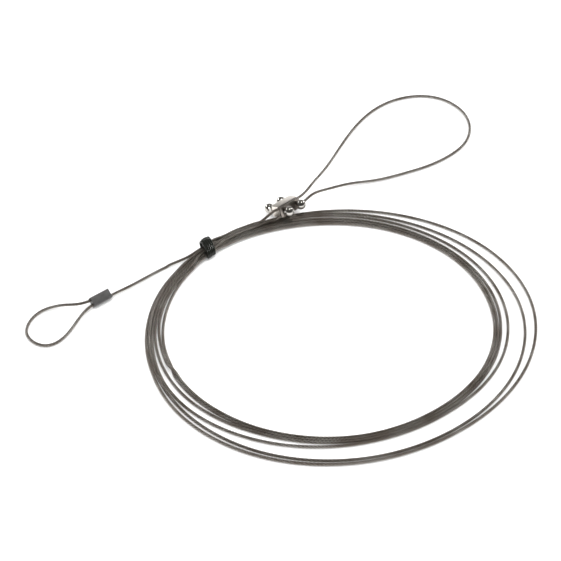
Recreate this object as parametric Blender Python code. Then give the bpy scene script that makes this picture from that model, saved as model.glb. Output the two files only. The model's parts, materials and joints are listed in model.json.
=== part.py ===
"""A wire rope lanyard, coiled for storage, in metres.

One rope runs from a small fixed eye, closed by a pressed ferrule, along a straight lead into a
flat coil, out again to a two-bolt clamp, round a large eye and back through the clamp. A plastic
coated wire ties the coil. +Z is up, +X runs from the fixed eye to the large eye, and the origin
is on the ground under the middle of the whole lanyard.
"""

import math

import bmesh
import bpy
import numpy as np
from mathutils import Euler, Matrix, Vector

# Rope, and the space left between pieces that only touch
ROPE_DIAMETER = 0.0020
GAP = 0.0003
GROUND_CLEARANCE = 0.0001

# Coil: its centre, and its inner and outer radius at every 30 degrees, anticlockwise from +X
COIL_CENTRE = Vector((-0.0400, -0.0215, 0.0))
COIL_INNER = (
    *(0.1095, 0.1090, 0.1070, 0.1070, 0.1065, 0.1070),
    *(0.1075, 0.1065, 0.1050, 0.1035, 0.1055, 0.1085),
)
COIL_OUTER = (
    *(0.1375, 0.1300, 0.1200, 0.1165, 0.1165, 0.1200),
    *(0.1280, 0.1325, 0.1300, 0.1280, 0.1315, 0.1370),
)
COIL_LAYER_PITCH = 0.00173
COIL_SECTIONS = 96

# Pressed ferrule of the fixed eye, lying on one of its long edges
FERRULE_SPOT = Vector((-0.1415, 0.0916, 0.0))
FERRULE_TURN = Euler((math.radians(40), 0, math.radians(2.5)))
FERRULE_LENGTH = 0.0148
FERRULE_WALL = 0.0004
FERRULE_COVER = 0.0007
FERRULE_WEB = 0.0007
FERRULE_EDGE = 0.0008
TAIL_SHOWS = 0.0002

# Two-bolt clamp: its ropes lie in the plane y = 0 of its own frame, and its bolts run along y
CLAMP_SPOT = Vector((0.0145, 0.0863, 0.0))
CLAMP_TURN = Euler((math.radians(-18), math.radians(5), math.radians(10)))
JAW_LENGTH = 0.0200
JAW_LIP = 0.0001
BODY_THICKNESS = 0.0078
PLATE_THICKNESS = 0.0020
JAW_SLIT = 0.0005
JAW_CORNER = 0.0024
BOLT_DIAMETER = 0.0030
BOLT_SPACING = 0.0125
BOLT_TO_ROPE = 0.00025
BOLT_RUNNING_CLEARANCE = 0.00015
BALL_DIAMETER = 0.0070
NECK_DIAMETER = 0.0046
NECK_LENGTH = 0.0006
SQUARE_WIDTH = 0.0032
SQUARE_DEPTH = 0.0009
NUT_WIDTH = 0.0055
NUT_HEX_LENGTH = 0.0032
NUT_ENGAGEMENT = 0.0052
NUT_BALL_STANDOFF = 0.00147

# Coated wire that ties the coil
TIE_ANGLE = math.radians(97.5)
TIE_WIRE = 0.0012
TIE_WIDTH = 0.0056
TIE_CORNER = 0.0011
KNOT_SIZE = Vector((0.0086, 0.0070, 0.0048))
KNOT_OUTWARD = 0.0022
KNOT_SINK = 0.0019

ROPE_RADIUS = ROPE_DIAMETER / 2
COIL_HEIGHT = ROPE_DIAMETER + COIL_LAYER_PITCH
TIE_LIFT = TIE_WIRE + GAP
TIE_LIFT_SPREAD = math.radians(13)
BORE_RADIUS = ROPE_RADIUS + GAP
FERRULE_ROPE_OFFSET = BORE_RADIUS + FERRULE_WEB / 2
FERRULE_WIDTH = 2 * (FERRULE_ROPE_OFFSET + BORE_RADIUS + FERRULE_WALL)
FERRULE_THICKNESS = 2 * (BORE_RADIUS + FERRULE_COVER)
BOLT_RADIUS = BOLT_DIAMETER / 2
GROOVE_OFFSET = BOLT_RADIUS + BOLT_TO_ROPE + ROPE_RADIUS
JAW_HEIGHT = 2 * (GROOVE_OFFSET + ROPE_RADIUS + JAW_LIP)
BODY_BACK = JAW_SLIT / 2 + BODY_THICKNESS
PLATE_FRONT = JAW_SLIT / 2 + PLATE_THICKNESS
NUT_SEAT = BODY_BACK + GAP
BALL_RADIUS = BALL_DIAMETER / 2
NUT_BALL_CENTRE = NUT_SEAT + NUT_HEX_LENGTH + NUT_BALL_STANDOFF


def clear_scene():
    for obj in list(bpy.data.objects):
        bpy.data.objects.remove(obj, do_unlink=True)


def make_material(name, colour, metallic, roughness):
    material = bpy.data.materials.new(name)
    material.use_nodes = True
    shader = material.node_tree.nodes["Principled BSDF"]
    shader.inputs["Base Color"].default_value = (*colour, 1)
    shader.inputs["Metallic"].default_value = metallic
    shader.inputs["Roughness"].default_value = roughness
    return material


def make_frame(name, place, turn=None):
    """An empty that carries the pieces of one fitting."""
    frame = bpy.data.objects.new(name, None)
    frame.location = place
    frame.rotation_euler = turn or Euler((0, 0, 0))
    bpy.context.collection.objects.link(frame)
    return frame


def make_object(name, mesh, material=None, frame=None, place=(0, 0, 0)):
    obj = bpy.data.objects.new(name, mesh)
    bpy.context.collection.objects.link(obj)
    obj.parent = frame
    obj.location = place
    if material:
        mesh.materials.append(material)
    return obj


def mesh_from(bm, name):
    bmesh.ops.recalc_face_normals(bm, faces=bm.faces)
    mesh = bpy.data.meshes.new(name)
    bm.to_mesh(mesh)
    bm.free()
    mesh.shade_smooth()
    mesh.set_sharp_from_angle(angle=math.radians(35))
    return mesh


def block_mesh(size, centre=(0, 0, 0)):
    bm = bmesh.new()
    bmesh.ops.create_cube(bm, size=1)
    placed = Matrix.Translation(centre) @ Matrix.Diagonal((*size, 1))
    bmesh.ops.transform(bm, matrix=placed, verts=bm.verts)
    return bm


def round_edges(bm, width, segments, wanted):
    """Bevels the edges that the wanted test picks."""
    edges = [edge for edge in bm.edges if wanted(edge)]
    bmesh.ops.bevel(
        bm, geom=edges, offset=width, segments=segments, profile=0.5, affect="EDGES", material=-1
    )


def rod_mesh(radius, low, high, segments, axis):
    """A round rod from low to high along X or Y."""
    bm = bmesh.new()
    bmesh.ops.create_cone(
        bm, cap_ends=True, segments=segments, radius1=radius, radius2=radius, depth=high - low
    )
    lay_down = Matrix.Rotation(math.radians(90), 4, "Y" if axis == "X" else "X")
    middle = Vector(((low + high) / 2, 0, 0) if axis == "X" else (0, (low + high) / 2, 0))
    bmesh.ops.transform(bm, matrix=Matrix.Translation(middle) @ lay_down, verts=bm.verts)
    return bm


def turned_mesh(profile, segments):
    """A solid turned about the Y axis from (radius, y) points that start and end on it."""
    bm = bmesh.new()
    verts = [bm.verts.new((radius, y, 0)) for radius, y in profile]
    edges = [bm.edges.new(pair) for pair in zip(verts, verts[1:])]
    bmesh.ops.spin(
        bm,
        geom=verts + edges,
        cent=(0, 0, 0),
        axis=(0, 1, 0),
        angle=math.tau,
        steps=segments,
        use_merge=True,
    )
    bmesh.ops.remove_doubles(bm, verts=bm.verts, dist=1e-7)
    return bm


def make_cutter(name, bm, frame, place=(0, 0, 0)):
    cutter = make_object(name, mesh_from(bm, name), frame=frame, place=place)
    cutter.hide_render = True
    cutter.display_type = "WIRE"
    return cutter


def use_boolean(obj, other, operation):
    modifier = obj.modifiers.new(f"{operation} {other.name}", "BOOLEAN")
    modifier.operation = operation
    modifier.solver = "EXACT"
    modifier.object = other


def spline_through(points, count):
    """Evenly spaced points of the cubic spline through the given ones, with free ends."""
    points = np.array([tuple(point) for point in points])
    chords = np.linalg.norm(np.diff(points, axis=0), axis=1)
    knots = np.concatenate([[0], np.cumsum(chords)])
    size = len(points)
    matrix = np.eye(size)
    right = np.zeros((size, 3))
    slopes = np.diff(points, axis=0) / chords[:, None]
    for i in range(1, size - 1):
        matrix[i, i - 1 : i + 2] = chords[i - 1], 2 * (chords[i - 1] + chords[i]), chords[i]
        right[i] = 6 * (slopes[i] - slopes[i - 1])
    bends = np.linalg.solve(matrix, right)
    fine = np.linspace(0, knots[-1], 4000)
    span = np.clip(np.searchsorted(knots, fine, side="right") - 1, 0, size - 2)
    chord = chords[span][:, None]
    after = (fine - knots[span])[:, None]
    before = chord - after
    curve = (
        (bends[span] * before**3 + bends[span + 1] * after**3) / (6 * chord)
        + (points[span] / chord - bends[span] * chord / 6) * before
        + (points[span + 1] / chord - bends[span + 1] * chord / 6) * after
    )
    travelled = np.concatenate([[0], np.cumsum(np.linalg.norm(np.diff(curve, axis=0), axis=1))])
    wanted = np.linspace(0, travelled[-1], count)
    return [Vector([np.interp(at, travelled, curve[:, k]) for k in range(3)]) for at in wanted]


def make_rope(name, route, count, material):
    """A tube along the route, closed at both ends."""
    curve = bpy.data.curves.new(name, "CURVE")
    curve.dimensions = "3D"
    curve.bevel_depth = ROPE_RADIUS
    curve.bevel_resolution = 2
    curve.use_fill_caps = True
    spline = curve.splines.new("POLY")
    points = spline_through(route, count)
    spline.points.add(len(points) - 1)
    for place, point in zip(points, spline.points):
        point.co = (*place, 1)
    return make_object(name, curve, material)


def ferrule_place():
    """The ferrule's middle, at the height where its lower long edge lies down."""
    across = (FERRULE_WIDTH / 2 - FERRULE_EDGE) * math.sin(FERRULE_TURN.x)
    through = (FERRULE_THICKNESS / 2 - FERRULE_EDGE) * math.cos(FERRULE_TURN.x)
    return FERRULE_SPOT + Vector((0, 0, GROUND_CLEARANCE + across + through + FERRULE_EDGE))


def ferrule_point(x, y):
    """A point of the ferrule's ropes: x along it, y across it."""
    return ferrule_place() + FERRULE_TURN.to_matrix() @ Vector((x, y, 0))


def clamp_place():
    """The middle of the clamp's ropes, at the height where the lower of its rear balls lies down."""
    turn = CLAMP_TURN.to_matrix()
    balls = [turn @ Vector((side * BOLT_SPACING / 2, NUT_BALL_CENTRE, 0)) for side in (-1, 1)]
    lowest = min(ball.z for ball in balls) - BALL_RADIUS
    return CLAMP_SPOT + Vector((0, 0, GROUND_CLEARANCE - lowest))


def clamp_point(x, z):
    """A point of the clamp's rope plane: x along the ropes, z from one groove to the other."""
    return clamp_place() + CLAMP_TURN.to_matrix() @ Vector((x, 0, z))


def coil_lift(angle):
    """How far the coil stands off the ground, to leave room for the tie that passes under it."""
    away = (angle - TIE_ANGLE + math.pi) % math.tau - math.pi
    return TIE_LIFT * math.exp(-((away / TIE_LIFT_SPREAD) ** 2))


def coil_radius(stations, angle):
    """The radius at an angle, on a smooth closed curve through the stations."""
    step = math.tau / len(stations)
    at = angle % math.tau / step
    first = int(at)
    share = at - first
    before, start, end, after = (stations[(first + k) % len(stations)] for k in (-1, 0, 1, 2))
    return 0.5 * (
        2 * start
        + (end - before) * share
        + (2 * before - 5 * start + 4 * end - after) * share**2
        + (3 * start - before - 3 * end + after) * share**3
    )


def coil_point(angle, radius, height):
    return COIL_CENTRE + Vector((radius * math.cos(angle), radius * math.sin(angle), height))


def fixed_eye_route():
    """From the short tail in the ferrule round the small eye, back through it and along the lead."""
    half = FERRULE_LENGTH / 2
    low = ROPE_RADIUS + GROUND_CLEARANCE
    offset = FERRULE_ROPE_OFFSET
    meets = math.radians(104.5)
    beside = coil_radius(COIL_OUTER, meets) + ROPE_RADIUS + GAP
    return [
        ferrule_point(half + TAIL_SHOWS, offset),
        ferrule_point(0, offset),
        ferrule_point(-half, offset),
        Vector((-0.1576, 0.0953, low + 0.0031)),
        Vector((-0.1640, 0.1017, low + 0.0016)),
        Vector((-0.1699, 0.1056, low + 0.0006)),
        Vector((-0.1768, 0.1073, low + 0.0001)),
        Vector((-0.1852, 0.1055, low)),
        Vector((-0.1918, 0.1015, low)),
        Vector((-0.1965, 0.0965, low)),
        Vector((-0.1989, 0.0902, low)),
        Vector((-0.1986, 0.0834, low)),
        Vector((-0.1954, 0.0775, low)),
        Vector((-0.1900, 0.0749, low)),
        Vector((-0.1828, 0.0756, low)),
        Vector((-0.1748, 0.0788, low)),
        Vector((-0.1664, 0.0833, low + 0.0004)),
        Vector((-0.1575, 0.0875, low + 0.0012)),
        ferrule_point(-half, -offset),
        ferrule_point(0, -offset),
        ferrule_point(half, -offset),
        Vector((-0.1183, 0.0913, low + 0.0007)),
        Vector((-0.1006, 0.0928, low + 0.0001)),
        Vector((-0.0840, 0.0932, low)),
        coil_point(meets, beside, low + coil_lift(meets)),
    ]


def large_eye_route():
    """Off the coil, through the clamp's upper groove, round the large eye and back to the coil."""
    low = ROPE_RADIUS + GROUND_CLEARANCE
    half = JAW_LENGTH / 2 + ROPE_DIAMETER
    on_coil = COIL_HEIGHT + 2 * GAP + ROPE_RADIUS

    def on_coil_point(degrees, radius):
        angle = math.radians(degrees)
        return coil_point(angle, radius, on_coil + coil_lift(angle))

    return [
        *[on_coil_point(at, 0.1158) for at in (79, 76)],
        Vector((-0.0065, 0.0892, on_coil + 0.0017)),
        Vector((-0.0018, 0.0872, on_coil + 0.0045)),
        *[clamp_point(x, GROOVE_OFFSET) for x in (-half, -half / 2, 0, half / 2, half)],
        Vector((0.0438, 0.0968, low + 0.0072)),
        Vector((0.0638, 0.1072, low + 0.0045)),
        Vector((0.0893, 0.1219, low + 0.0022)),
        Vector((0.1119, 0.1347, low + 0.0008)),
        Vector((0.1335, 0.1442, low + 0.0002)),
        Vector((0.1525, 0.1487, low)),
        Vector((0.1700, 0.1480, low)),
        Vector((0.1843, 0.1424, low)),
        Vector((0.1944, 0.1326, low)),
        Vector((0.1989, 0.1198, low)),
        Vector((0.1980, 0.1047, low)),
        Vector((0.1915, 0.0905, low)),
        Vector((0.1822, 0.0803, low)),
        Vector((0.1700, 0.0728, low)),
        Vector((0.1522, 0.0686, low)),
        Vector((0.1324, 0.0686, low)),
        Vector((0.1100, 0.0730, low)),
        Vector((0.0869, 0.0800, low + 0.0003)),
        Vector((0.0715, 0.0868, low + 0.0009)),
        Vector((0.0588, 0.0893, low + 0.0021)),
        Vector((0.0488, 0.0907, low + 0.0031)),
        Vector((0.0387, 0.0900, low + 0.0045)),
        *[clamp_point(x, -GROOVE_OFFSET) for x in (half, half / 2, 0, -half / 2, -half)],
        Vector((-0.0030, 0.0854, on_coil + 0.0006)),
        *[on_coil_point(at, 0.1137) for at in (74, 77)],
    ]


def make_coil(material):
    """The wound turns as one ring with a chamfered section, raised a little where the tie passes."""
    chamfer = ROPE_RADIUS / 2
    sections = []
    for k in range(COIL_SECTIONS):
        angle = math.tau * k / COIL_SECTIONS
        inner = coil_radius(COIL_INNER, angle)
        outer = coil_radius(COIL_OUTER, angle)
        bottom = coil_lift(angle)
        top = bottom + COIL_HEIGHT
        corners = [
            (inner + chamfer, bottom),
            (outer - chamfer, bottom),
            (outer, bottom + chamfer),
            (outer, top - chamfer),
            (outer - chamfer, top),
            (inner + chamfer, top),
            (inner, top - chamfer),
            (inner, bottom + chamfer),
        ]
        sections.append([coil_point(angle, radius, height) for radius, height in corners])
    bm = bmesh.new()
    rings = [[bm.verts.new(point) for point in section] for section in sections]
    for ring, following in zip(rings, rings[1:] + rings[:1]):
        for k, vert in enumerate(ring):
            nearby = (k + 1) % len(ring)
            bm.faces.new((vert, ring[nearby], following[nearby], following[k]))
    return make_object("rope_coil", mesh_from(bm, "rope_coil"), material)


def make_ferrule(material):
    """A flattened sleeve with a hole for the rope's tail and one for the lead."""
    frame = make_frame("ferrule_frame", ferrule_place(), FERRULE_TURN)
    size = (FERRULE_LENGTH, FERRULE_WIDTH, FERRULE_THICKNESS)
    bm = block_mesh(size)
    round_edges(bm, FERRULE_EDGE, 3, lambda e: abs(e.verts[0].co.x - e.verts[1].co.x) > FERRULE_LENGTH / 2)
    ferrule = make_object("ferrule", mesh_from(bm, "ferrule"), material, frame)
    reach = FERRULE_LENGTH
    for side, name in ((1, "tail_hole"), (-1, "lead_hole")):
        hole = rod_mesh(BORE_RADIUS, -reach, reach, 24, "X")
        place = (0, side * FERRULE_ROPE_OFFSET, 0)
        use_boolean(ferrule, make_cutter(name, hole, frame, place), "DIFFERENCE")
    return ferrule


def upright(edge):
    """Whether an edge of a jaw runs along its z axis."""
    return abs(edge.verts[0].co.z - edge.verts[1].co.z) > JAW_HEIGHT / 2


def cut_grooves(jaw, frame):
    for side, name in ((1, "upper"), (-1, "lower")):
        groove = rod_mesh(BORE_RADIUS, -JAW_LENGTH, JAW_LENGTH, 24, "X")
        place = (0, 0, side * GROOVE_OFFSET)
        use_boolean(jaw, make_cutter(f"{jaw.name}_{name}_groove", groove, frame, place), "DIFFERENCE")


def cut_bolt_holes(jaw, frame, depth):
    for side in (-1, 1):
        hole = rod_mesh(BOLT_RADIUS + BOLT_RUNNING_CLEARANCE, -depth, depth, 32, "Y")
        place = (side * BOLT_SPACING / 2, 0, 0)
        use_boolean(jaw, make_cutter(f"{jaw.name}_bolt_hole", hole, frame, place), "DIFFERENCE")


def make_clamp_body(frame, material):
    """The thick rear jaw: grooved in front, with rounded rear corners."""
    middle_y = (JAW_SLIT / 2 + BODY_BACK) / 2
    bm = block_mesh((JAW_LENGTH, BODY_THICKNESS, JAW_HEIGHT), (0, middle_y, 0))
    corner = min(JAW_CORNER, BODY_THICKNESS / 3)
    round_edges(bm, corner, 5, lambda e: upright(e) and e.verts[0].co.y > middle_y)
    body = make_object("clamp_body", mesh_from(bm, "clamp_body"), material, frame)
    cut_bolt_holes(body, frame, 2 * BODY_BACK)
    cut_grooves(body, frame)
    return body


def make_clamp_plate(frame, material):
    """The thin front jaw, with a square seat for each bolt in its face."""
    middle_y = -(JAW_SLIT / 2 + PLATE_FRONT) / 2
    bm = block_mesh((JAW_LENGTH, PLATE_THICKNESS, JAW_HEIGHT), (0, middle_y, 0))
    corner = min(JAW_CORNER, PLATE_THICKNESS * 0.8)
    round_edges(bm, corner, 5, lambda e: upright(e) and e.verts[0].co.y < middle_y)
    plate = make_object("clamp_plate", mesh_from(bm, "clamp_plate"), material, frame)
    cut_bolt_holes(plate, frame, 2 * PLATE_FRONT)
    width = SQUARE_WIDTH + 2 * GAP
    for side in (-1, 1):
        seat = block_mesh((width, 2 * (SQUARE_DEPTH + GAP), width))
        place = (side * BOLT_SPACING / 2, -PLATE_FRONT, 0)
        use_boolean(plate, make_cutter("bolt_seat", seat, frame, place), "DIFFERENCE")
    cut_grooves(plate, frame)
    return plate


def ball_arc(centre, start, end, steps):
    """(radius, y) points round a ball, by angle from its -y pole."""
    angles = [start + (end - start) * k / steps for k in range(steps + 1)]
    return [
        (BALL_RADIUS * math.sin(angle), centre - BALL_RADIUS * math.cos(angle)) for angle in angles
    ]


def make_bolt(name, x, frame, material):
    """A ball head, a short neck, a square that keeps it from turning, and a round shank."""
    neck = NECK_DIAMETER / 2
    neck_back = -(PLATE_FRONT + GAP)
    leaves = math.pi - math.asin(neck / BALL_RADIUS)
    centre = neck_back - NECK_LENGTH + BALL_RADIUS * math.cos(leaves)
    end = NUT_SEAT + NUT_ENGAGEMENT
    profile = ball_arc(centre, 0, leaves, 14)
    profile[0] = (0, centre - BALL_RADIUS)
    profile += [(neck, neck_back), (BOLT_RADIUS, neck_back), (BOLT_RADIUS, end - GAP)]
    profile += [(BOLT_RADIUS - GAP, end), (0, end)]
    mesh = mesh_from(turned_mesh(profile, 32), name)
    bolt = make_object(name, mesh, material, frame, (x, 0, 0))
    height = SQUARE_DEPTH + 2 * GAP
    middle = (0, neck_back + height / 2 - GAP, 0)
    square = block_mesh((SQUARE_WIDTH, height, SQUARE_WIDTH), middle)
    use_boolean(bolt, make_cutter(f"{name}_square", square, frame, (x, 0, 0)), "UNION")
    return bolt


def make_cap_nut(name, x, frame, material):
    """A hexagon that ends in a ball, with a blind hole for the bolt."""
    circumradius = NUT_WIDTH / math.sqrt(3)
    centre = NUT_BALL_CENTRE
    hexagon = rod_mesh(circumradius, NUT_SEAT, centre, 6, "Y")
    nut = make_object(name, mesh_from(hexagon, name), material, frame, (x, 0, 0))
    profile = ball_arc(centre, 0, math.pi, 20)
    profile[0] = (0, centre - BALL_RADIUS)
    profile[-1] = (0, centre + BALL_RADIUS)
    ball = make_cutter(f"{name}_ball", turned_mesh(profile, 32), frame, (x, 0, 0))
    use_boolean(nut, ball, "UNION")
    depth = NUT_ENGAGEMENT + 2 * GAP
    bore = BOLT_RADIUS + BOLT_RUNNING_CLEARANCE
    hole = rod_mesh(bore, NUT_SEAT - depth, NUT_SEAT + depth, 32, "Y")
    use_boolean(nut, make_cutter(f"{name}_hole", hole, frame, (x, 0, 0)), "DIFFERENCE")
    return nut


def make_tie(material):
    """A band of wire wraps round the coil, with its twisted ends pressed into a knot on top."""
    inner = coil_radius(COIL_INNER, TIE_ANGLE)
    outer = coil_radius(COIL_OUTER, TIE_ANGLE)
    base = coil_lift(TIE_ANGLE)
    place = coil_point(TIE_ANGLE, (inner + outer) / 2, base + COIL_HEIGHT / 2)
    frame = make_frame("tie_frame", place, Euler((0, 0, TIE_ANGLE - math.pi / 2)))
    opening = Vector((TIE_WIDTH, outer - inner + 2 * GAP, COIL_HEIGHT + 2 * GAP))
    around = Vector((0, 2 * TIE_WIRE, 2 * TIE_WIRE))
    bm = block_mesh(opening + around)
    corner = min(TIE_CORNER, TIE_WIRE * 0.9)
    round_edges(bm, corner, 3, lambda e: abs(e.verts[0].co.x - e.verts[1].co.x) > TIE_WIDTH / 2)
    tie = make_object("wire_tie", mesh_from(bm, "wire_tie"), material, frame)
    knot = bmesh.new()
    bmesh.ops.create_icosphere(knot, subdivisions=3, radius=0.5)
    bmesh.ops.transform(knot, matrix=Matrix.Diagonal((*KNOT_SIZE, 1)), verts=knot.verts)
    knot_height = opening.z / 2 + TIE_WIRE + KNOT_SIZE.z / 2 - KNOT_SINK
    use_boolean(tie, make_cutter("knot", knot, frame, (0, KNOT_OUTWARD, knot_height)), "UNION")
    through = block_mesh((3 * opening.x, opening.y, opening.z))
    use_boolean(tie, make_cutter("tie_opening", through, frame), "DIFFERENCE")
    return tie


def main():
    clear_scene()
    steel_rope = make_material("steel rope", (0.20, 0.18, 0.16), 1.0, 0.38)
    aluminium = make_material("pressed aluminium", (0.22, 0.21, 0.21), 0.9, 0.5)
    satin_steel = make_material("satin steel", (0.62, 0.58, 0.53), 1.0, 0.34)
    chrome = make_material("chrome", (0.55, 0.55, 0.56), 1.0, 0.08)
    coated_wire = make_material("coated wire", (0.030, 0.034, 0.028), 0.0, 0.25)

    make_rope("rope_fixed_eye", fixed_eye_route(), 60, steel_rope)
    make_rope("rope_large_eye", large_eye_route(), 80, steel_rope)
    make_coil(steel_rope)
    make_ferrule(aluminium)

    clamp = make_frame("clamp_frame", clamp_place(), CLAMP_TURN)
    make_clamp_body(clamp, satin_steel)
    make_clamp_plate(clamp, satin_steel)
    for side, where in ((-1, "coil_side"), (1, "eye_side")):
        x = side * BOLT_SPACING / 2
        make_bolt(f"bolt_{where}", x, clamp, chrome)
        make_cap_nut(f"cap_nut_{where}", x, clamp, chrome)

    make_tie(coated_wire)
    bpy.context.view_layer.update()


main()
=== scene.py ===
import json
import math

import bmesh
import bpy
import numpy as np
from mathutils import Euler, Matrix, Vector
from mathutils.kdtree import KDTree


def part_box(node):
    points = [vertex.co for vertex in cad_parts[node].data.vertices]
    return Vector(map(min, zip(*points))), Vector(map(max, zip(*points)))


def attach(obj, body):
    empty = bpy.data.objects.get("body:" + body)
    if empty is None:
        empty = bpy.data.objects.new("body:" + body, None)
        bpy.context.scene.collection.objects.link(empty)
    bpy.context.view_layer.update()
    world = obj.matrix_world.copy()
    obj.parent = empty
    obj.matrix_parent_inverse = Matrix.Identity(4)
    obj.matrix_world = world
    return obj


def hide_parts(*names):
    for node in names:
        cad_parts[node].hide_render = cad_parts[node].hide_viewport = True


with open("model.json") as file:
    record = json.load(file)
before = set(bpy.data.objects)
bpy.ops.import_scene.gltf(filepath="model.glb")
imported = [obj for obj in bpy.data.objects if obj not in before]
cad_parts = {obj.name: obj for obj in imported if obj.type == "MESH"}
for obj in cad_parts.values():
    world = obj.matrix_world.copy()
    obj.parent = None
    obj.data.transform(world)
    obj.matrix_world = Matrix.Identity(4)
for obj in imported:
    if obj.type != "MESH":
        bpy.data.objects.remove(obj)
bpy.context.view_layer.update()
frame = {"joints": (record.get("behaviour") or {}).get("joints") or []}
joints = {joint["name"]: joint for joint in frame["joints"]}
upAxis = Vector((0, 0, 1))


# Camera
cameraSetup = {
    "target": Vector((-0.035, 0.0345, 0.0)),
    "turn": 39,  # degrees round from +Y towards +X
    "elevation": 39,
    "distance": 1.25,
    "lens": 119.7,
}


def makeCamera(setup):
    turn, rise = math.radians(setup["turn"]), math.radians(setup["elevation"])
    ahead = Vector((math.sin(turn) * math.cos(rise), math.cos(turn) * math.cos(rise), -math.sin(rise)))
    camera = bpy.data.objects.new("camera", bpy.data.cameras.new("camera"))
    camera.data.lens = setup["lens"]
    camera.location = setup["target"] - ahead * setup["distance"]
    camera.rotation_euler = ahead.to_track_quat("-Z", "Y").to_euler()
    bpy.context.collection.objects.link(camera)
    bpy.context.scene.camera = camera
    print("camera placed")


makeCamera(cameraSetup)


# The clamp's own frame, from where its nuts turn: x along the ropes, y along the bolts, z across the grooves
clampJaws = {
    "length": 0.0200,
    "height": 0.0077,
    "slit": 0.0005,
    "bodyThickness": 0.0078,
    "plateThickness": 0.0020,
    "corner": 0.0024,
    "edge": 0.00022,
    "grooveOffset": 0.00275,
    "grooveRadius": 0.0013,
    "holeRadius": 0.00165,
    "nutSeat": 0.00835,  # from the ropes' plane to the nuts
}
coilSeat = Vector(joints["nut_coil_spin"]["pos_m"])
eyeSeat = Vector(joints["nut_eye_spin"]["pos_m"])
alongBolts = Vector(joints["nut_coil_spin"]["axis"]).normalized()
alongRopes = (eyeSeat - coilSeat).normalized()
acrossGrooves = alongRopes.cross(alongBolts)
boltSpacing = (eyeSeat - coilSeat).length
clampMiddle = (coilSeat + eyeSeat) / 2 - alongBolts * clampJaws["nutSeat"]
clampFrame = Matrix((alongRopes, alongBolts, acrossGrooves)).transposed().to_4x4()
clampFrame.translation = clampMiddle


def clampPoint(x, z):
    return clampFrame @ Vector((x, 0, z))


# The ferrule's own frame: x along it, y across it. It lies on one long edge.
ferruleSpec = {
    "heading": 2.5,
    "roll": 40,
    "length": 0.0148,
    "width": 0.0067,
    "thickness": 0.0040,
    "ropeOffset": 0.00165,
    "tailShows": 0.0002,
    "longEdge": 0.0006,
    "endEdge": 0.0002,
    "holeRatio": 1.04,  # the holes' radius to the rope's
}
ferruleLow, ferruleHigh = (Vector(corner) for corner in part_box("ferrule"))
ferruleTurn = Euler((math.radians(ferruleSpec["roll"]), 0, math.radians(ferruleSpec["heading"])))
ferruleFrame = Matrix.Translation((ferruleLow + ferruleHigh) / 2) @ ferruleTurn.to_matrix().to_4x4()


def ferrulePoint(x, y):
    return ferruleFrame @ Vector((x, y, 0))


# Rope: six strands round a core, all in one piece from the small eye to the end of the large one
rope = {
    "diameter": 0.0020,
    "lay": 0.0141,  # along the rope for one full turn of a strand
    "strands": 6,
    "valley": 0.60,  # share of the radius where two strands meet
    "ringSpacing": 0.0011,
    "groundClearance": 0.0001,
}
ropeRadius = rope["diameter"] / 2
restHeight = ropeRadius + rope["groundClearance"]
layerPitch = 0.00173

coil = {
    "centre": Vector((-0.0400, -0.0215, 0.0)),
    "tieAngle": 97.5,
    "tieLift": 0.0015,  # the tie's wire passes under the turns
    "tieLiftSpread": 13,
    # Each turn: its start under the tie as (radius, layer), then its radii every 30 degrees from 60 down to
    # -240, then the layers of the steps that aren't on the ground. Radii are in millimetres.
    "turns": (
        ((115.0, 1), (120.2, 128.1, 135.2, 135.9, 130.5, 126.6, 128.2, 129.7, 125.9, 118.4, 115.2), {}),
        (
            (114.0, 0),
            (118.4, 122.3, 126.0, 127.8, 125.6, 123.8, 125.3, 126.2, 122.6, 117.2, 114.1),
            {9: 0.9, 10: 1},
        ),
        ((112.9, 1), (116.6, 118.4, 119.1, 117.5, 113.8, 110.0, 112.2, 117.1, 119.6, 116.0, 113.2), {0: 0.2}),
        ((111.9, 0), (113.2, 114.6, 114.6, 112.9, 109.3, 107.4, 109.2, 111.2, 114.1, 113.1, 111.1), {}),
        (
            (109.8, 0),
            (110.3, 112.2, 112.4, 110.0, 108.0, 106.0, 107.8, 109.4, 110.2, 108.1, 106.9),
            {3: 0.9, 4: 1, 5: 1, 6: 0.8, 7: 0.3},
        ),
        (
            (107.7, 0),
            (107.5, 110.0, 110.5, 108.6, 106.9, 104.8, 106.3, 107.5, 108.5, 110.2, 109.8),
            {7: 0.4, 8: 1, 9: 1.2, 10: 1},
        ),
    ),
    "leaves": (110.8, 1),
}


def coilLift(degrees):
    away = (degrees - coil["tieAngle"] + 180) % 360 - 180
    return coil["tieLift"] * math.exp(-((away / coil["tieLiftSpread"]) ** 2))


def coilPoint(degrees, radius, height):
    angle = math.radians(degrees)
    return coil["centre"] + Vector((radius * math.cos(angle), radius * math.sin(angle), height))


def laidPoint(degrees, millimetres, layer):
    height = restHeight + layer * layerPitch + coilLift(degrees)
    return coilPoint(degrees, millimetres / 1000, height)


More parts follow.
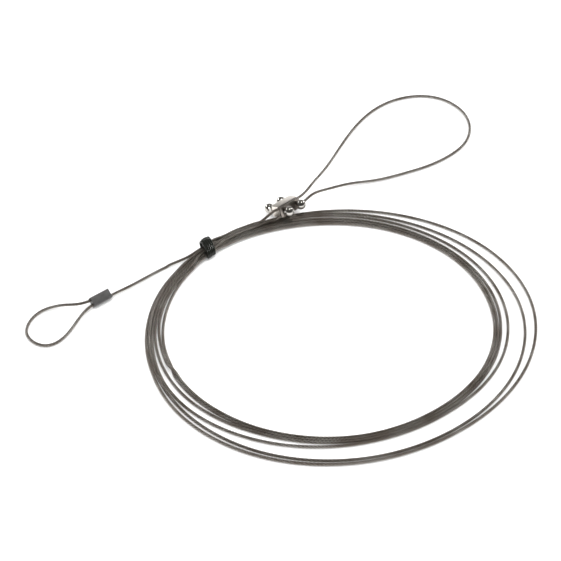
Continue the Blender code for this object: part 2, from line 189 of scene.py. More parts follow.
def smallEyeRoute():
    half = ferruleSpec["length"] / 2
    offset = ferruleSpec["ropeOffset"]
    low = restHeight
    return [
        ferrulePoint(half + ferruleSpec["tailShows"], offset),
        ferrulePoint(0, offset),
        ferrulePoint(-half, offset),
        Vector((-0.1576, 0.0953, low + 0.0031)),
        Vector((-0.1640, 0.1017, low + 0.0016)),
        Vector((-0.1699, 0.1056, low + 0.0006)),
        Vector((-0.1768, 0.1073, low + 0.0001)),
        Vector((-0.1852, 0.1055, low)),
        Vector((-0.1918, 0.1015, low)),
        Vector((-0.1965, 0.0965, low)),
        Vector((-0.1989, 0.0902, low)),
        Vector((-0.1986, 0.0834, low)),
        Vector((-0.1954, 0.0775, low)),
        Vector((-0.1900, 0.0749, low)),
        Vector((-0.1828, 0.0756, low)),
        Vector((-0.1748, 0.0788, low)),
        Vector((-0.1664, 0.0833, low + 0.0004)),
        Vector((-0.1575, 0.0875, low + 0.0012)),
        ferrulePoint(-half, -offset),
        ferrulePoint(0, -offset),
        ferrulePoint(half, -offset),
        Vector((-0.1183, 0.0913, low + 0.0007)),
        Vector((-0.1006, 0.0928, low + 0.0001)),
        Vector((-0.0840, 0.0932, low)),
        coilPoint(104.5, 0.1168, low + coilLift(104.5) + 0.0005),
    ]


def coilRoute():
    points = []
    for (startRadius, startLayer), radii, layers in coil["turns"]:
        points.append(laidPoint(coil["tieAngle"], startRadius, startLayer))
        for step, radius in enumerate(radii):
            points.append(laidPoint(60 - 30 * step, radius, layers.get(step, 0)))
    return points


def largeEyeRoute():
    low = restHeight
    half = clampJaws["length"] / 2 + rope["diameter"]
    groove = clampJaws["grooveOffset"]
    pinned = (-half, -half / 2, 0, half / 2, half)
    return [
        laidPoint(coil["tieAngle"], *coil["leaves"]),
        laidPoint(87, 113.2, 1.6),
        laidPoint(79, 114.2, 1.6),
        Vector((-0.0086, 0.0897, 0.0068)),
        Vector((-0.0012, 0.0884, 0.0094)),
        *[clampPoint(x, groove) for x in pinned],
        Vector((0.0438, 0.0968, low + 0.0072)),
        Vector((0.0638, 0.1072, low + 0.0045)),
        Vector((0.0893, 0.1219, low + 0.0022)),
        Vector((0.1119, 0.1347, low + 0.0008)),
        Vector((0.1335, 0.1442, low + 0.0002)),
        Vector((0.1525, 0.1487, low)),
        Vector((0.1700, 0.1480, low)),
        Vector((0.1843, 0.1424, low)),
        Vector((0.1944, 0.1326, low)),
        Vector((0.1989, 0.1198, low)),
        Vector((0.1980, 0.1047, low)),
        Vector((0.1915, 0.0905, low)),
        Vector((0.1822, 0.0803, low)),
        Vector((0.1700, 0.0728, low)),
        Vector((0.1522, 0.0686, low)),
        Vector((0.1324, 0.0686, low)),
        Vector((0.1100, 0.0730, low)),
        Vector((0.0869, 0.0800, low + 0.0003)),
        Vector((0.0715, 0.0868, low + 0.0009)),
        Vector((0.0588, 0.0893, low + 0.0021)),
        Vector((0.0488, 0.0907, low + 0.0031)),
        Vector((0.0387, 0.0900, low + 0.0045)),
        *[clampPoint(x, -groove) for x in reversed(pinned)],
        Vector((-0.0018, 0.0866, 0.0060)),
        Vector((-0.0090, 0.0886, 0.0047)),
        laidPoint(80, 112.5, 1.3),
        laidPoint(87, 111.3, 1.4),
        laidPoint(96, 108.7, 1),
    ]


def splineThrough(points, spacing):
    # Evenly spaced points of the natural cubic spline through the given ones
    points = np.array([tuple(point) for point in points])
    chords = np.linalg.norm(np.diff(points, axis=0), axis=1)
    knots = np.concatenate([[0], np.cumsum(chords)])
    size = len(points)
    matrix = np.eye(size)
    right = np.zeros((size, 3))
    slopes = np.diff(points, axis=0) / chords[:, None]
    for i in range(1, size - 1):
        matrix[i, i - 1 : i + 2] = chords[i - 1], 2 * (chords[i - 1] + chords[i]), chords[i]
        right[i] = 6 * (slopes[i] - slopes[i - 1])
    bends = np.linalg.solve(matrix, right)
    fine = np.linspace(0, knots[-1], 40 * size)
    span = np.clip(np.searchsorted(knots, fine, side="right") - 1, 0, size - 2)
    chord = chords[span][:, None]
    after = (fine - knots[span])[:, None]
    before = chord - after
    curve = (
        (bends[span] * before**3 + bends[span + 1] * after**3) / (6 * chord)
        + (points[span] / chord - bends[span] * chord / 6) * before
        + (points[span + 1] / chord - bends[span + 1] * chord / 6) * after
    )
    travelled = np.concatenate([[0], np.cumsum(np.linalg.norm(np.diff(curve, axis=0), axis=1))])
    wanted = np.linspace(0, travelled[-1], round(travelled[-1] / spacing) + 1)
    return np.column_stack([np.interp(wanted, travelled, curve[:, k]) for k in range(3)])


def closePairs(points, reach, skip):
    # Pairs of points nearer than reach, leaving out neighbours along the rope
    tree = KDTree(len(points))
    for index, point in enumerate(points):
        tree.insert(point, index)
    tree.balance()
    pairs = []
    for index, point in enumerate(points):
        pairs += [(index, other) for _, other, _ in tree.find_range(point, reach) if other > index + skip]
    return np.array(pairs)


settling = {
    "rounds": 160,
    "newPairsEvery": 20,
    "sink": 0.00002,
    "keepPlace": 0.01,
    "stiffness": 0.6,
    "touching": 0.00197,
    "neighbours": 8,  # points along the rope that don't count as another turn
    "greatestPush": 0.0004,
    "clampMargin": 0.004,  # the rope is held this far before the clamp
}


def settleRope(points, free, spacing):
    # Lets the turns lie on the ground and on each other: none shares space with another or with the ground
    start = points.copy()
    points = points.copy()
    weight = free[:, None]
    aroundCoil = points[:, :2] - np.array(coil["centre"])[:2]
    ground = np.array([restHeight + coilLift(math.degrees(math.atan2(y, x))) for x, y in aroundCoil])
    ground = np.where(free > 0, ground, 0)
    for count in range(settling["rounds"]):
        if count % settling["newPairsEvery"] == 0:
            pairs = closePairs(points, 2 * rope["diameter"], settling["neighbours"])
        along = np.gradient(points, axis=0)
        along /= np.linalg.norm(along, axis=1)[:, None]
        apart = points[pairs[:, 0]] - points[pairs[:, 1]]
        lengthwise = np.sum(apart * along[pairs[:, 0]], axis=1)
        across = apart - lengthwise[:, None] * along[pairs[:, 0]]
        distance = np.maximum(np.linalg.norm(across, axis=1), 1e-6)
        push = np.clip(settling["touching"] - distance, 0, settling["greatestPush"])
        push[np.abs(lengthwise) > 0.6 * spacing] = 0
        step = across * (0.35 * push / distance)[:, None]
        move = np.zeros_like(points)
        np.add.at(move, pairs[:, 0], step)
        np.add.at(move, pairs[:, 1], -step)
        bend = np.zeros_like(points)
        bend[2:-2] = (
            points[:-4] - 4 * points[1:-3] + 6 * points[2:-2] - 4 * points[3:-1] + points[4:]
        ) / 16
        move -= settling["stiffness"] * bend
        move[:, :2] += settling["keepPlace"] * (start - points)[:, :2]
        move[:, 2] -= settling["sink"]
        points += move * weight
        points[:, 2] = np.maximum(points[:, 2], np.where(free > 0, ground, points[:, 2]))
    return points


def routeWholeRope():
    # Every point of the rope, and where it passes under the tie at the start and end of the coil
    spacing = 2 * rope["ringSpacing"]
    eye, turns, end = smallEyeRoute(), coilRoute(), largeEyeRoute()
    points = splineThrough(eye + turns + end, spacing)

    def nearest(place):
        return int(np.argmin(np.linalg.norm(points - np.array(place), axis=1)))

    entry, leaving = nearest(turns[0]), nearest(end[0])
    beforeClamp = -clampJaws["length"] / 2 - settling["clampMargin"]
    freeFrom, freeTo = nearest(eye[-2]), nearest(clampPoint(beforeClamp, clampJaws["grooveOffset"]))
    tailFrom = nearest(clampPoint(beforeClamp, -clampJaws["grooveOffset"]))
    free = np.zeros(len(points))
    free[freeFrom:freeTo] = 1
    free[tailFrom:] = 1
    kernel = np.ones(7) / 7
    free = np.minimum(free, np.convolve(np.pad(free, 3, mode="edge"), kernel, mode="valid"))
    settled = settleRope(points, free, spacing)
    fine = splineThrough(settled, rope["ringSpacing"])
    scale = (len(fine) - 1) / (len(points) - 1)
    return fine, round(entry * scale), round(leaving * scale)


ropeLine, coilStart, coilEnd = routeWholeRope()
print("rope laid,", len(ropeLine), "points")


def strandOutline():
    # One ring round the rope: a bump for each strand and a valley between two
    perStrand = 4
    count = rope["strands"] * perStrand
    points = []
    for k in range(count):
        towardsValley = abs((k % perStrand) / perStrand - 0.5) * 2
        radius = ropeRadius * (1 - (1 - rope["valley"]) * towardsValley**2.2)
        angle = math.tau * k / count
        points.append((radius * math.cos(angle), radius * math.sin(angle)))
    return points


def makePolyCurve(name, points, tilts=None, cyclic=False):
    curve = bpy.data.curves.new(name, "CURVE")
    curve.dimensions = "3D"
    spline = curve.splines.new("POLY")
    spline.points.add(len(points) - 1)
    flat = np.ones((len(points), 4))
    flat[:, : len(points[0])] = np.array([tuple(p) for p in points])
    if len(points[0]) == 2:
        flat[:, 2] = 0
    spline.points.foreach_set("co", flat.ravel())
    if tilts is not None:
        spline.points.foreach_set("tilt", tilts)
    spline.use_cyclic_u = cyclic
    obj = bpy.data.objects.new(name, curve)
    bpy.context.collection.objects.link(obj)
    return obj


def meshOf(obj, name):
    # The object's shape, with its modifiers and bevels applied, as a mesh object in the same place
    graph = bpy.context.evaluated_depsgraph_get()
    mesh = bpy.data.meshes.new_from_object(obj.evaluated_get(graph))
    mesh.name = name
    made = bpy.data.objects.new(name, mesh)
    bpy.context.collection.objects.link(made)
    bpy.data.objects.remove(obj)
    return made


outlineObject = makePolyCurve("strandOutline", strandOutline(), cyclic=True)


def makeRopePiece(name, start, stop):
    # The stretch of rope between two points of its line, its strands laid in a right-hand twist
    line = ropeLine[start : stop + 1]
    travelled = np.arange(start, stop + 1) * rope["ringSpacing"]
    curveObject = makePolyCurve(name + "Line", line, tilts=-math.tau * travelled / rope["lay"])
    curveObject.data.bevel_mode = "OBJECT"
    curveObject.data.bevel_object = outlineObject
    curveObject.data.use_fill_caps = True
    piece = meshOf(curveObject, name)
    mesh = piece.data
    rings, around = len(line), len(outlineObject.data.splines[0].points)
    while mesh.uv_layers:
        mesh.uv_layers.remove(mesh.uv_layers[0])
    layer = mesh.uv_layers.new(name="rope")
    corners = np.empty(len(mesh.loops), np.int32)
    mesh.loops.foreach_get("vertex_index", corners)
    ring, place = corners // around, corners % around
    starts = np.empty(len(mesh.polygons), np.int32)
    totals = np.empty(len(mesh.polygons), np.int32)
    mesh.polygons.foreach_get("loop_start", starts)
    mesh.polygons.foreach_get("loop_total", totals)
    face = np.repeat(np.arange(len(totals)), totals)
    wraps = np.zeros(len(totals), bool)
    np.logical_or.at(wraps, face, place == around - 1)
    across = place + np.where(wraps[face] & (place == 0), around, 0)
    uv = np.empty((len(corners), 2))
    uv[:, 0] = across / around * rope["strands"]
    uv[:, 1] = (start + ring) * rope["ringSpacing"] / rope["lay"]
    layer.data.foreach_set("uv", uv.ravel())
    mesh.shade_smooth()
    metres = round(rings * rope["ringSpacing"], 3)
    print(name, "has", rings, "rings,", len(mesh.polygons), "faces,", metres, "m")
    return piece, [Vector(point) for point in line[::3]]


ropeSmallEye, smallEyeLine = makeRopePiece("ropeSmallEye", 0, coilStart)
ropeCoil, coilLine = makeRopePiece("ropeCoil", coilStart, coilEnd)
ropeLargeEye, largeEyeLine = makeRopePiece("ropeLargeEye", coilEnd, len(ropeLine) - 1)
bpy.data.objects.remove(outlineObject)


# Materials
class Value:
    def __init__(self, finish, socket):
        self.finish = finish
        self.socket = socket

    def maths(self, operation, *others):
        return self.finish.node("ShaderNodeMath", {"operation": operation}, dict(enumerate(others)))

    def __add__(self, other):
        return self.maths("ADD", self, other)

    def __radd__(self, other):
        return self.maths("ADD", other, self)

    def __sub__(self, other):
        return self.maths("SUBTRACT", self, other)

    def __rsub__(self, other):
        return self.maths("SUBTRACT", other, self)

    def __mul__(self, other):
        return self.maths("MULTIPLY", self, other)

    def __rmul__(self, other):
        return self.maths("MULTIPLY", other, self)

    def __truediv__(self, other):
        return self.maths("DIVIDE", self, other)

    def __pow__(self, other):
        return self.maths("POWER", self, other)

    def __abs__(self):
        return self.maths("ABSOLUTE", self)

    def fraction(self):
        return self.maths("FRACT", self)

    def sine(self):
        return self.maths("SINE", self)

    def clipped(self):
        return self.maths("MINIMUM", self.maths("MAXIMUM", self, 0.0), 1.0)


class Finish:
    def __init__(self, name):
        self.material = bpy.data.materials.new(name)
        self.material.use_nodes = True
        self.tree = self.material.node_tree
        self.shader = self.tree.nodes["Principled BSDF"]

    def node(self, kind, settings=None, inputs=None, output=0):
        # A node of one type: its settings first, then the values or links of its sockets
        made = self.tree.nodes.new(kind)
        for name, value in (settings or {}).items():
            if name == "stops":
                for stop, (place, colour) in zip(self.stopsFor(made.color_ramp, len(value)), value):
                    stop.position = place
                    stop.color = (*colour, 1)
            else:
                setattr(made, name, value)
        for key, value in (inputs or {}).items():
            self.feed(made.inputs[key], value)
        return Value(self, made.outputs[output])

    def stopsFor(self, ramp, count):
        while len(ramp.elements) < count:
            ramp.elements.new(1.0)
        return ramp.elements

    def feed(self, socket, value):
        if isinstance(value, Value):
            self.tree.links.new(value.socket, socket)
        elif socket.type == "RGBA" and len(value) == 3:
            socket.default_value = (*value, 1)
        else:
            socket.default_value = value

    def surface(self, **inputs):
        for name, value in inputs.items():
            self.feed(self.shader.inputs[name.replace("_", " ")], value)

    def noise(self, scale, detail=3, stretch=(1, 1, 1), distortion=0.0):
        place = self.node("ShaderNodeTexCoord", output="Object")
        if stretch != (1, 1, 1):
            place = self.node("ShaderNodeMapping", inputs={"Vector": place, "Scale": stretch})
        settings = {"Vector": place, "Scale": scale, "Detail": detail, "Distortion": distortion}
        return self.node("ShaderNodeTexNoise", inputs=settings)

    def ramp(self, value, *stops):
        return self.node("ShaderNodeValToRGB", {"stops": stops}, {"Fac": value})

    def blend(self, share, first, second):
        inputs = {0: share, 6: first, 7: second}
        return self.node("ShaderNodeMix", {"data_type": "RGBA"}, inputs, output=2)

    def bump(self, height, distance, strength=1.0):
        inputs = {"Height": height, "Distance": distance, "Strength": strength}
        return self.node("ShaderNodeBump", inputs=inputs)


ropeFinish = {
    "wire": (0.92, 0.86, 0.79),
    "brown": (0.60, 0.52, 0.45),
    # valley: painted shade, a near black colour laid into the creases between strands and between wires
    "valley": (0.012, 0.011, 0.010),
    "roughness": 0.30,
    "wiresPerLay": 15.0,
}


def makeRopeSteel(look):
    finish = Finish("ropeSteel")
    place = finish.node("ShaderNodeUVMap", {"uv_map": "rope"})
    parts = {"Vector": place}
    around = finish.node("ShaderNodeSeparateXYZ", inputs=parts, output=0)
    along = finish.node("ShaderNodeSeparateXYZ", inputs=parts, output=1)
    towardsValley = abs(around.fraction() - 0.5) * 2
    wires = ((along * look["wiresPerLay"] + around * 1.35) * math.tau).sine() * 0.5 + 0.5
    stain = finish.noise(55, detail=4)
    worn = finish.blend(finish.ramp(stain, (0.38, (0, 0, 0)), (0.62, (1, 1, 1))), look["wire"], look["brown"])
    # painted shade: dark lines painted between the wires of each strand
    wireGrooveShade = finish.blend((1 - wires) * 0.35, worn, look["valley"])
    # painted shade: the colour goes near black towards each valley between strands
    colour = finish.blend(towardsValley ** 0.75, wireGrooveShade, look["valley"])
    finish.surface(
        Base_Color=colour,
        Metallic=1.0,
        Roughness=look["roughness"] + stain * 0.16,
        Normal=finish.bump(wires * (1 - towardsValley ** 2.0), 0.00012, 0.8),
    )
    return finish.material


ferruleFinish = {"light": (0.215, 0.212, 0.21), "dark": (0.175, 0.172, 0.17), "roughness": 0.38}


def makeFerruleAluminium(look):
    finish = Finish("ferruleAluminium")
    cloud = finish.noise(420, detail=5)
    drag = finish.noise(900, detail=3, stretch=(0.06, 1, 1))
    patches = finish.ramp(cloud, (0.35, (0, 0, 0)), (0.65, (1, 1, 1)))
    colour = finish.blend(patches, look["dark"], look["light"])
    finish.surface(
        Base_Color=colour,
        Metallic=0.85,
        Roughness=look["roughness"] + drag * 0.14,
        Normal=finish.bump(drag * 0.6 + cloud * 0.4, 0.00006, 0.6),
    )
    return finish.material


clampFinish = {
    "light": (0.80, 0.76, 0.70),
    "dark": (0.72, 0.67, 0.61),
    "plate": (0.30, 0.27, 0.245),  # painted shade: the front plate gets a darker copy of the block's steel colour, for the shade it sits in
    "slitSharpness": 20000,
    "roughness": 0.24,
}


def makeClampSteel(look):
    finish = Finish("clampSteel")
    grain = finish.noise(1500, detail=3, stretch=(0.05, 0.4, 1))
    cloud = finish.noise(160, detail=4)
    place = finish.node("ShaderNodeTexCoord", output="Object")
    placeAndBolts = {0: place, 1: tuple(alongBolts)}
    depth = finish.node("ShaderNodeVectorMath", {"operation": "DOT_PRODUCT"}, placeAndBolts, output=1)
    # painted shade: everything in front of the slit, the front plate, takes the darker plate colour instead
    # of the steel colour
    unshadedBlock = ((depth - clampMiddle.dot(alongBolts)) * look["slitSharpness"] + 0.5).clipped()
    steel = finish.blend(cloud, look["dark"], look["light"])
    finish.surface(
        Base_Color=finish.blend(unshadedBlock, look["plate"], steel),
        Metallic=1.0,
        Roughness=look["roughness"] + grain * 0.14,
        Normal=finish.bump(grain, 0.00003, 0.5),
    )
    return finish.material


polishFinish = {"colour": (0.56, 0.54, 0.51), "haze": (0.48, 0.46, 0.43), "roughness": 0.02}


def makePolishedSteel(look):
    finish = Finish("polishedSteel")
    haze = finish.noise(700, detail=4)
    scratches = finish.noise(2600, detail=2, stretch=(1, 0.08, 1))
    finish.surface(
        Base_Color=finish.blend(haze, look["colour"], look["haze"]),
        Metallic=1.0,
        Roughness=look["roughness"] + haze * 0.03 + scratches ** 3.0 * 0.05,
        Normal=finish.bump(scratches, 0.000006, 0.4),
    )
    return finish.material


tieFinish = {"colour": (0.010, 0.011, 0.009), "worn": (0.018, 0.020, 0.016), "roughness": 0.10}


def makeTieCoating(look):
    finish = Finish("tieCoating")
    scuffs = finish.noise(900, detail=5)
    worn = finish.ramp(scuffs, (0.45, (0, 0, 0)), (0.75, (1, 1, 1)))
    finish.surface(
        Base_Color=finish.blend(worn, look["colour"], look["worn"]),
        Roughness=look["roughness"] + scuffs * 0.10,
        Specular_IOR_Level=0.28,
        Normal=finish.bump(scuffs, 0.00002, 0.4),
    )
    return finish.material


finishes = {
    "rope_steel": makeRopeSteel(ropeFinish),
    "ferrule_aluminium": makeFerruleAluminium(ferruleFinish),
    "clamp_steel": makeClampSteel(clampFinish),
    "polished_steel": makePolishedSteel(polishFinish),
    "tie_coating": makeTieCoating(tieFinish),
}
print("materials made:", ", ".join(finishes))


def dress(piece, slot, body, *nodes):
    # Gives a finished piece its material, the body it rides on and the nodes it stands for
    piece.data.materials.clear()
    piece.data.materials.append(finishes[slot])
    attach(piece, body)
    if nodes:
        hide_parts(*nodes)


dress(ropeSmallEye, "rope_steel", "lanyard", "rope_fixed_eye")
dress(ropeCoil, "rope_steel", "lanyard", "rope_coil")
dress(ropeLargeEye, "rope_steel", "lanyard", "rope_large_eye")


# Solid pieces
def objectFrom(bm, name, placed=None, sharp=35):
    # A mesh object at the origin from a finished bmesh, its place in its vertices
    if placed is not None:
        bmesh.ops.transform(bm, matrix=placed, verts=bm.verts)
    bmesh.ops.recalc_face_normals(bm, faces=bm.faces)
    mesh = bpy.data.meshes.new(name)
    bm.to_mesh(mesh)
    bm.free()
    mesh.shade_smooth()
    mesh.set_sharp_from_angle(angle=math.radians(sharp))
    obj = bpy.data.objects.new(name, mesh)
    bpy.context.collection.objects.link(obj)
    return obj


def blockShape(size, centre):
    bm = bmesh.new()
    bmesh.ops.create_cube(bm, size=1, matrix=Matrix.Translation(centre) @ Matrix.Diagonal((*size, 1)))
    return bm


def bevelEdges(bm, width, segments, wanted=lambda edge: True):
    edges = [edge for edge in bm.edges if wanted(edge)]
    bmesh.ops.bevel(
        bm,
        geom=edges,
        offset=width,
        segments=segments,
        profile=0.5,
        affect="EDGES",
        material=-1,
        clamp_overlap=True,
    )


def sharpEdge(edge):
    return edge.is_manifold and edge.calc_face_angle() > math.radians(40)


def turnedShape(profile, steps):
    # A shape turned about the y axis from (radius, y) points that start and end on it
    bm = bmesh.new()
    verts = [bm.verts.new((radius, y, 0)) for radius, y in profile]
    edges = [bm.edges.new(pair) for pair in zip(verts, verts[1:])]
    bmesh.ops.spin(
        bm,
        geom=verts + edges,
        cent=(0, 0, 0),
        axis=(0, 1, 0),
        angle=math.tau,
        steps=steps,
        use_merge=True,
    )
    bmesh.ops.remove_doubles(bm, verts=bm.verts, dist=1e-7)
    return bm


def rodShape(radius, length, axis, steps=40):
    bm = bmesh.new()
    lie = Matrix.Rotation(math.radians(90), 4, "Y" if axis == "x" else "X")
    bmesh.ops.create_cone(
        bm, cap_ends=True, segments=steps, radius1=radius, radius2=radius, depth=length, matrix=lie
    )
    return bm


def cutAway(obj, cutters):
    # The object without the space of the cutters, which are used up
    for cutter in cutters:
        modifier = obj.modifiers.new("cut", "BOOLEAN")
        modifier.operation = "DIFFERENCE"
        modifier.solver = "EXACT"
        modifier.object = cutter
    bpy.context.view_layer.update()
    name = obj.name
    obj.name = name + "Blank"
    made = meshOf(obj, name)
    for cutter in cutters:
        bpy.data.objects.remove(cutter)
    return made


def makeFerrule(spec):
    # A sleeve pressed flat on both ropes, with rounded long edges and a hole for each rope
    size = (spec["length"], spec["width"], spec["thickness"])
    bm = blockShape(size, (0, 0, 0))
    bevelEdges(bm, spec["longEdge"], 5, lambda e: abs(e.verts[0].co.x - e.verts[1].co.x) > spec["length"] / 2)
    bevelEdges(bm, spec["endEdge"], 3, sharpEdge)
    sleeve = objectFrom(bm, "ferruleSleeve", ferruleFrame)
    holes = []
    for side in (-1, 1):
        placed = ferruleFrame @ Matrix.Translation((0, side * spec["ropeOffset"], 0))
        hole = rodShape(ropeRadius * spec["holeRatio"], spec["length"] * 1.5, "x")
        holes.append(objectFrom(hole, "hole", placed))
    sleeve = cutAway(sleeve, holes)
    dress(sleeve, "ferrule_aluminium", "lanyard", "ferrule")
    return sleeve


makeFerrule(ferruleSpec)
print("ferrule made")


def makeJaw(name, low, high, roundedSide, body, node):
    # One jaw of the clamp, from low to high along the bolts, with its two grooves and bolt holes
    middle = (low + high) / 2
    length, height = clampJaws["length"], clampJaws["height"]
    bm = blockShape((length, high - low, height), (0, middle, 0))

    def rounded(edge):
        upright = abs(edge.verts[0].co.z - edge.verts[1].co.z) > height / 2
        return upright and (edge.verts[0].co.y - middle) * roundedSide > 0

    bevelEdges(bm, min(clampJaws["corner"], (high - low) * 0.8), 10, rounded)
    bevelEdges(bm, clampJaws["edge"], 3, sharpEdge)
    jaw = objectFrom(bm, name, clampFrame)
    cutters = []
    for side in (-1, 1):
        hole = Matrix.Translation((side * boltSpacing / 2, middle, 0))
        cutters.append(objectFrom(rodShape(clampJaws["holeRadius"], 0.03, "y"), "hole", clampFrame @ hole))
    for side in (-1, 1):
        groove = Matrix.Translation((0, 0, side * clampJaws["grooveOffset"]))
        grooveRod = rodShape(clampJaws["grooveRadius"], 0.04, "x")
        cutters.append(objectFrom(grooveRod, "groove", clampFrame @ groove))
    if roundedSide < 0:
        for side in (-1, 1):
            seat = blockShape((0.0038, 0.0024, 0.0038), (side * boltSpacing / 2, low, 0))
            cutters.insert(2, objectFrom(seat, "seat", clampFrame))
    jaw = cutAway(jaw, cutters)
    jaw.data.set_sharp_from_angle(angle=math.radians(35))
    dress(jaw, "clamp_steel", body, node)
    return jaw


slitHalf = clampJaws["slit"] / 2
blockBack = slitHalf + clampJaws["bodyThickness"]
plateFront = -slitHalf - clampJaws["plateThickness"]
makeJaw("clampBlock", slitHalf, blockBack, 1, "lanyard", "clamp_body")
makeJaw("clampFrontPlate", plateFront, -slitHalf, -1, "plate", "clamp_plate")
print("clamp jaws made")


ballBolt = {
    "ballRadius": 0.0035,
    "neckRadius": 0.0023,
    "neckLength": 0.0006,
    "neckBack": -0.00255,  # behind the neck, 0.3 mm in front of the plate
    "shankRadius": 0.0015,
    "shankEnd": 0.01355,
    "square": 0.0032,
    "squareDepth": 0.0015,
    "steps": 56,
}


def ballArc(radius, centre, start, end, steps):
    angles = [start + (end - start) * k / steps for k in range(steps + 1)]
    return [(max(radius * math.sin(a), 0), centre - radius * math.cos(a)) for a in angles]


def makeBallBolt(name, side, spec, node):
    # A ball head on a short neck, a square under it and a round shank through both jaws
    leaves = math.pi - math.asin(spec["neckRadius"] / spec["ballRadius"])
    neckFront = spec["neckBack"] - spec["neckLength"]
    centre = neckFront + spec["ballRadius"] * math.cos(leaves)
    profile = ballArc(spec["ballRadius"], centre, 0, leaves, 30)
    profile[0] = (0, profile[0][1])
    shank, end = spec["shankRadius"], spec["shankEnd"]
    neck, neckBack, neckEdge, tipEdge = spec["neckRadius"], spec["neckBack"], 0.0001, 0.0003
    profile += [(neck, neckBack - neckEdge), (neck - neckEdge, neckBack), (shank, neckBack)]
    profile += [(shank, end - tipEdge), (shank - tipEdge, end), (0, end)]
    bm = turnedShape(profile, spec["steps"])
    squareMiddle = (0, spec["neckBack"] + spec["squareDepth"] / 2 - 0.0003, 0)
    squareBlock = blockShape((spec["square"], spec["squareDepth"], spec["square"]), squareMiddle)
    bevelEdges(squareBlock, 0.0001, 2)
    squareMesh = bpy.data.meshes.new("square")
    squareBlock.to_mesh(squareMesh)
    squareBlock.free()
    bm.from_mesh(squareMesh)
    bpy.data.meshes.remove(squareMesh)
    placed = clampFrame @ Matrix.Translation((side * boltSpacing / 2, 0, 0))
    bolt = objectFrom(bm, name, placed, sharp=30)
    dress(bolt, "polished_steel", "plate", node)
    return bolt


ballNut = {
    "across": 0.0055,
    "hexLength": 0.0032,
    "standoff": 0.00147,
    "ballRadius": 0.0035,
    "chamfer": 0.00035,
}


def makeBallNut(name, side, spec, body, node):
    # A hexagon that carries a ball, screwed on the end of the bolt
    seat = clampJaws["nutSeat"]
    centre = seat + spec["hexLength"] + spec["standoff"]
    bm = bmesh.new()
    middle = Matrix.Translation((0, (seat + centre) / 2, 0)) @ Matrix.Rotation(math.radians(90), 4, "X")
    corner = spec["across"] / math.sqrt(3)
    bmesh.ops.create_cone(
        bm, cap_ends=True, segments=6, radius1=corner, radius2=corner, depth=centre - seat, matrix=middle
    )
    bevelEdges(bm, spec["chamfer"], 3, lambda e: abs(e.verts[0].co.y - e.verts[1].co.y) < 1e-6)
    bevelEdges(bm, 0.00012, 2, sharpEdge)
    profile = ballArc(spec["ballRadius"], centre, 0, math.pi, 40)
    profile[0], profile[-1] = (0, profile[0][1]), (0, profile[-1][1])
    ball = turnedShape(profile, 56)
    ballMesh = bpy.data.meshes.new("ball")
    ball.to_mesh(ballMesh)
    ball.free()
    bm.from_mesh(ballMesh)
    bpy.data.meshes.remove(ballMesh)
    placed = clampFrame @ Matrix.Translation((side * boltSpacing / 2, 0, 0))
    nut = objectFrom(bm, name, placed, sharp=30)
    dress(nut, "polished_steel", body, node)
    return nut


makeBallBolt("ballBoltCoilSide", -1, ballBolt, "bolt_coil_side")
makeBallBolt("ballBoltEyeSide", 1, ballBolt, "bolt_eye_side")
makeBallNut("ballNutCoilSide", -1, ballNut, "nut_coil", "cap_nut_coil_side")
makeBallNut("ballNutEyeSide", 1, ballNut, "nut_eye", "cap_nut_eye_side")
print("bolts and nuts made")


# Coated wire tie
tie = {
    "wire": 0.0015,
    "wraps": 5,
    "spread": 0.0086,  # of the wraps, along the bundle
    "slant": 0.0026,  # how far each wrap's inner end lags behind its outer end
    "pinch": 0.12,  # how much closer the wraps are at the bundle's inner side
    "inside": (0.0050, 0.0023),  # half size of the bundle
    "squareness": 2.6,
    "bulge": 0.0030,  # the knot under the wraps, at the outer top
    "bulgeAngle": 128,
    "bulgeSpread": 44,
}


def tieFrameAt():
    angle = math.radians(coil["tieAngle"])
    outward = Vector((math.cos(angle), math.sin(angle), 0))
    along = Vector((math.sin(angle), -math.cos(angle), 0))  # the way that the turns run, clockwise from above
    middle = coil["centre"] + outward * 0.11100 + upAxis * (coil["tieLift"] + restHeight + layerPitch / 2)
    placed = Matrix((along, outward, upAxis)).transposed().to_4x4()
    placed.translation = middle
    return placed


def wrapPoint(degrees, along, gap, narrowing):
    # A point round the bundle: 0 degrees is its outer side, 90 its top
    angle = math.radians(degrees)
    c, s = math.cos(angle), math.sin(angle)
    scale = (abs(c) ** tie["squareness"] + abs(s) ** tie["squareness"]) ** (-1 / tie["squareness"])
    y, z = (tie["inside"][0] + gap) * c * scale, (tie["inside"][1] + gap) * s * scale
    away = (degrees - (180 - tie["bulgeAngle"]) + 180) % 360 - 180
    dome = math.cos(1.7 * along / tie["spread"])
    bulge = tie["bulge"] * dome * math.exp(-((away / tie["bulgeSpread"]) ** 2))
    pinch = 1 - narrowing * (1 - y / tie["inside"][0]) / 2
    return Vector((along * pinch + tie["slant"] * y / tie["inside"][0], y + bulge * c, z + bulge * abs(s)))


def wrapRoute():
    # Five turns of wire side by side, closer together at the bundle's inner side
    stepsPerWrap = 32
    points = []
    for k in range(tie["wraps"] * stepsPerWrap + 1):
        turn = k / stepsPerWrap
        along = tie["spread"] * (turn / tie["wraps"] - 0.5)
        points.append(wrapPoint(-100 + 360 * turn, along, tie["wire"] / 2, tie["pinch"]))
    return points


def wireShape(name, points, radius, placed, cyclic=False):
    curveObject = makePolyCurve(name + "Line", [placed @ point for point in points], cyclic=cyclic)
    curveObject.data.bevel_depth = radius
    curveObject.data.bevel_resolution = 4
    curveObject.data.use_fill_caps = True
    piece = meshOf(curveObject, name)
    piece.data.shade_smooth()
    return piece


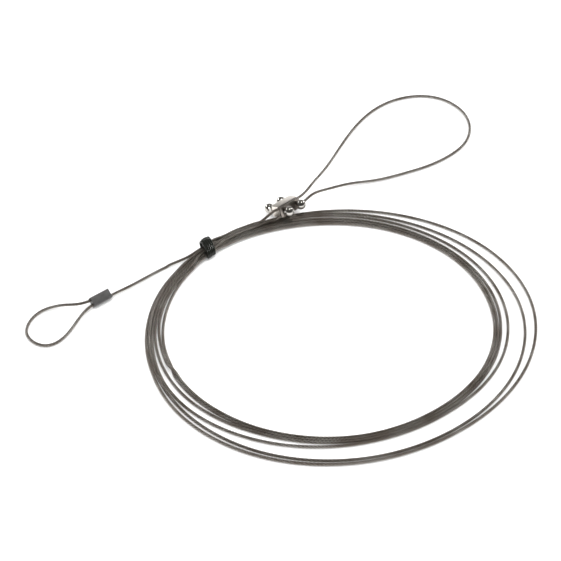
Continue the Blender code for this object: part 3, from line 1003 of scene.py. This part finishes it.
def makeKnot(placed):
    # The twisted ends, a small lump that the wraps hold down at the outer top
    bm = bmesh.new()
    bmesh.ops.create_uvsphere(bm, u_segments=32, v_segments=20, radius=1)
    for vert in bm.verts:
        ridge = 1 + 0.05 * math.sin(6 * math.atan2(vert.co.z, vert.co.y) + 5 * vert.co.x)
        vert.co = Vector((vert.co.x * 0.0033, vert.co.y * 0.0028 * ridge, vert.co.z * 0.0022 * ridge))
    bmesh.ops.translate(bm, vec=(0.0012, 0.0028, 0.0026), verts=bm.verts)
    return objectFrom(bm, "tieKnot", placed)


tieFrame = tieFrameAt()
tieWraps = wireShape("tieWraps", wrapRoute(), tie["wire"] / 2, tieFrame)
dress(tieWraps, "tie_coating", "lanyard", "wire_tie")
tieKnot = makeKnot(tieFrame)
dress(tieKnot, "tie_coating", "lanyard")
print("tie made")


# Floor and light
studio = {
    "floor": (0.93, 0.93, 0.93),
    "roomBack": 0.30,  # how light the room is beyond the object, and behind the camera
    "roomFront": 0.06,
    "lights": (
        # name, direction towards it, strength, width in degrees, seen in metal, casting shadows
        ("lightWide", (0.05, 0.15, 0.98), 3.6, 150, False, False),
        ("lightAbove", (0.12, -0.09, 0.99), 0.6, 8, True, True),
        ("lightLeft", (-0.32, 0.80, 0.52), 0.6, 7, True, True),
        ("lightRight", (0.89, 0.02, 0.45), 0.5, 7, True, True),
    ),
}


def makeRoom(setup):
    world = bpy.data.worlds.new("room")
    world.use_nodes = True
    nodes, links = world.node_tree.nodes, world.node_tree.links
    place = nodes.new("ShaderNodeTexCoord")
    ahead = nodes.new("ShaderNodeVectorMath")
    ahead.operation = "DOT_PRODUCT"
    turn = math.radians(cameraSetup["turn"])
    ahead.inputs[1].default_value = (math.sin(turn), math.cos(turn), 0)
    scale = nodes.new("ShaderNodeMapRange")
    scale.inputs["From Min"].default_value = -1
    scale.inputs["To Min"].default_value = setup["roomFront"]
    scale.inputs["To Max"].default_value = setup["roomBack"]
    links.new(place.outputs["Generated"], ahead.inputs[0])
    links.new(ahead.outputs["Value"], scale.inputs["Value"])
    links.new(scale.outputs["Result"], nodes["Background"].inputs["Strength"])
    nodes["Background"].inputs["Color"].default_value = (1.0, 0.985, 0.965, 1)
    bpy.context.scene.world = world


def makeStudio(setup):
    bm = bmesh.new()
    bmesh.ops.create_grid(bm, x_segments=1, y_segments=1, size=4)
    floor = objectFrom(bm, "floor", Matrix.Translation((0, 0, -0.0001)))
    paint = Finish("floorPaint")
    paint.surface(Base_Color=setup["floor"], Roughness=0.9, Specular_IOR_Level=0.0)
    floor.data.materials.append(paint.material)
    for name, towards, strength, width, reflected, shadowed in setup["lights"]:
        light = bpy.data.lights.new(name, "SUN")
        light.energy = strength
        light.angle = math.radians(width)
        light.use_shadow = shadowed
        obj = bpy.data.objects.new(name, light)
        obj.rotation_euler = Vector(towards).to_track_quat("Z", "Y").to_euler()
        obj.visible_glossy = reflected
        bpy.context.collection.objects.link(obj)
    makeRoom(setup)
    bpy.context.scene.view_settings.view_transform = "Standard"
    print("studio lit")


makeStudio(studio)
